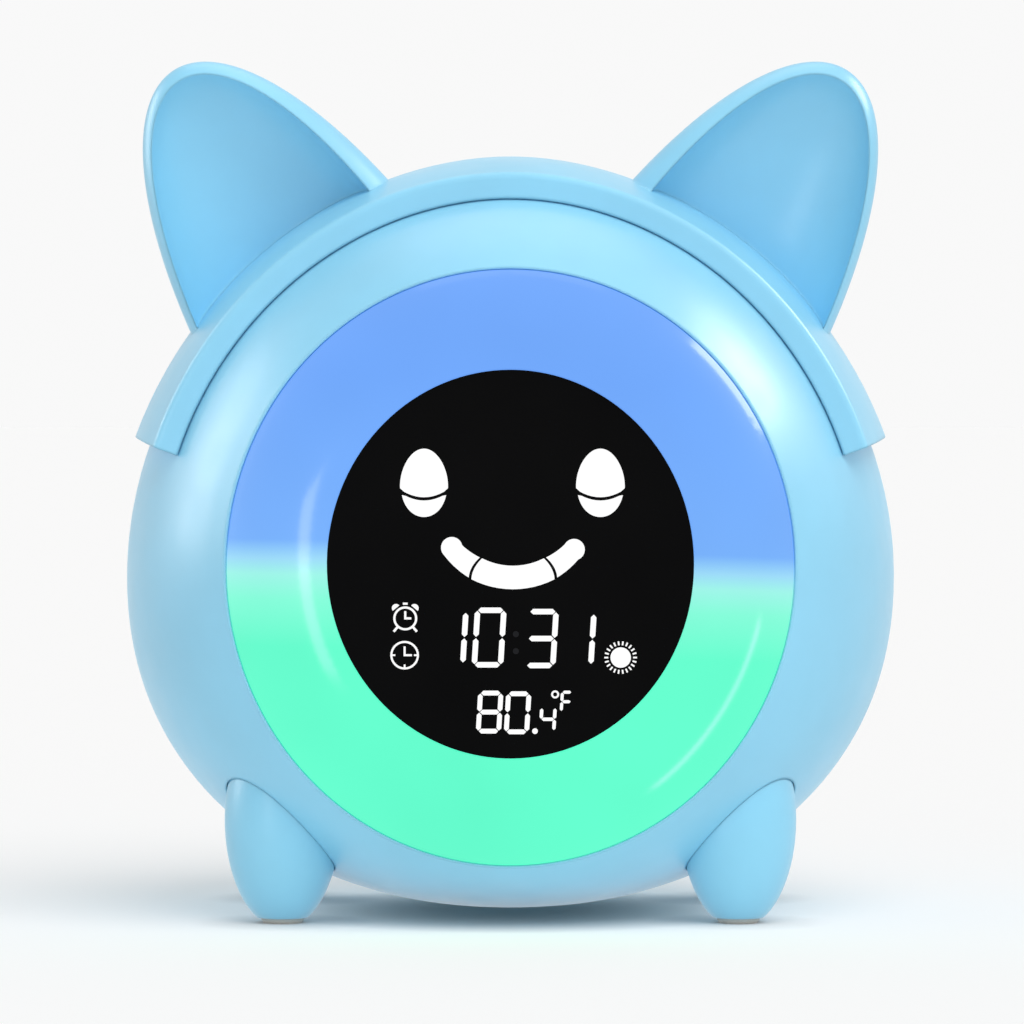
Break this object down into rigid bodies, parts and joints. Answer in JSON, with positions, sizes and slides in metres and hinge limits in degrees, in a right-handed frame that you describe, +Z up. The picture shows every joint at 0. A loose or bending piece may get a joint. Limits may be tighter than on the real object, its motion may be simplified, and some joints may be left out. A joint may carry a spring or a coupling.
{
  "type": "kids alarm clock with night light",
  "caption": "Round bedside alarm clock with a lit lamp ring, a round display, a lift-off cat-ear headband, egg-shaped legs, rear buttons and a slide switch.",
  "frame": {"origin": "on the surface that the pads stand on, in the middle of the clock's width and depth, under the seam of the two case halves", "axes": "+Z up, the face looks along -Y, +X to the viewer's right"},
  "size_m": [0.118, 0.0927, 0.13],
  "materials": {
    "shell_blue": "satin moulded",
    "lamp_diffuser": "milky, lit from behind",
    "smoked_window": "polished",
    "film": "printed",
    "black_plastic": "moulded",
    "white_plastic": "moulded",
    "circuit_board": "lacquered",
    "led": "clear resin",
    "leg_blue": "satin moulded",
    "pad_rubber": "soft",
    "screw_steel": "plated",
    "button_rubber": "satin",
    "socket_metal": "plated",
    "speaker_black": "pressed",
    "cell_wrap": "foil"
  },
  "bodies": {
    "case": {"front_shell": "shell_blue", "rear_shell": "shell_blue", "diffuser_ring": "lamp_diffuser", "display_window": "smoked_window", "segment_film": "film", "light_guide": "black_plastic", "light_baffle": "white_plastic", "front_board": "circuit_board", "ring_leds": "led", "case_screws": "screw_steel", "leg_screws": "screw_steel", "board_screws": "screw_steel", "back_board": "circuit_board", "button_switches": "black_plastic", "power_switch": "black_plastic", "charging_socket": "socket_metal", "speaker": "speaker_black", "speaker_clamp": "screw_steel", "battery_tray": "white_plastic", "battery_cell": "cell_wrap", "leg_front_left": "leg_blue", "pad_front_left": "pad_rubber", "leg_front_right": "leg_blue", "pad_front_right": "pad_rubber", "leg_back_left": "leg_blue", "pad_back_left": "pad_rubber", "leg_back_right": "leg_blue", "pad_back_right": "pad_rubber"},
    "headband": {"ear_headband": "shell_blue"},
    "power_slider": {"power_knob": "button_rubber"},
    "light_key": {"button_light": "button_rubber"},
    "sound_key": {"button_sound": "button_rubber"},
    "down_key": {"button_down": "button_rubber"},
    "up_key": {"button_up": "button_rubber"},
    "alarm_key": {"button_alarm": "button_rubber"},
    "set_key": {"button_set": "button_rubber"}
  },
  "joints": [
    {"name": "headband_lift", "type": "slide", "parent": "case", "child": "headband", "axis": [0, 0, 1], "range_m": [0, 0.06]},
    {"name": "power_slide", "type": "slide", "parent": "case", "child": "power_slider", "axis": [1, 0, 0], "range_m": [0, 0.004]},
    {"name": "light_press", "type": "slide", "parent": "case", "child": "light_key", "axis": [0, -1, 0], "range_m": [0, 0.0008], "stiffness_N_per_m": 400, "springref_m": -0.0006},
    {"name": "sound_press", "type": "slide", "parent": "case", "child": "sound_key", "axis": [0, -1, 0], "range_m": [0, 0.0008], "stiffness_N_per_m": 400, "springref_m": -0.0006},
    {"name": "down_press", "type": "slide", "parent": "case", "child": "down_key", "axis": [0, -1, 0], "range_m": [0, 0.0008], "stiffness_N_per_m": 400, "springref_m": -0.0006},
    {"name": "up_press", "type": "slide", "parent": "case", "child": "up_key", "axis": [0, -1, 0], "range_m": [0, 0.0008], "stiffness_N_per_m": 400, "springref_m": -0.0006},
    {"name": "alarm_press", "type": "slide", "parent": "case", "child": "alarm_key", "axis": [0, -1, 0], "range_m": [0, 0.0008], "stiffness_N_per_m": 400, "springref_m": -0.0006},
    {"name": "set_press", "type": "slide", "parent": "case", "child": "set_key", "axis": [0, -1, 0], "range_m": [0, 0.0008], "stiffness_N_per_m": 400, "springref_m": -0.0006}
  ]
}
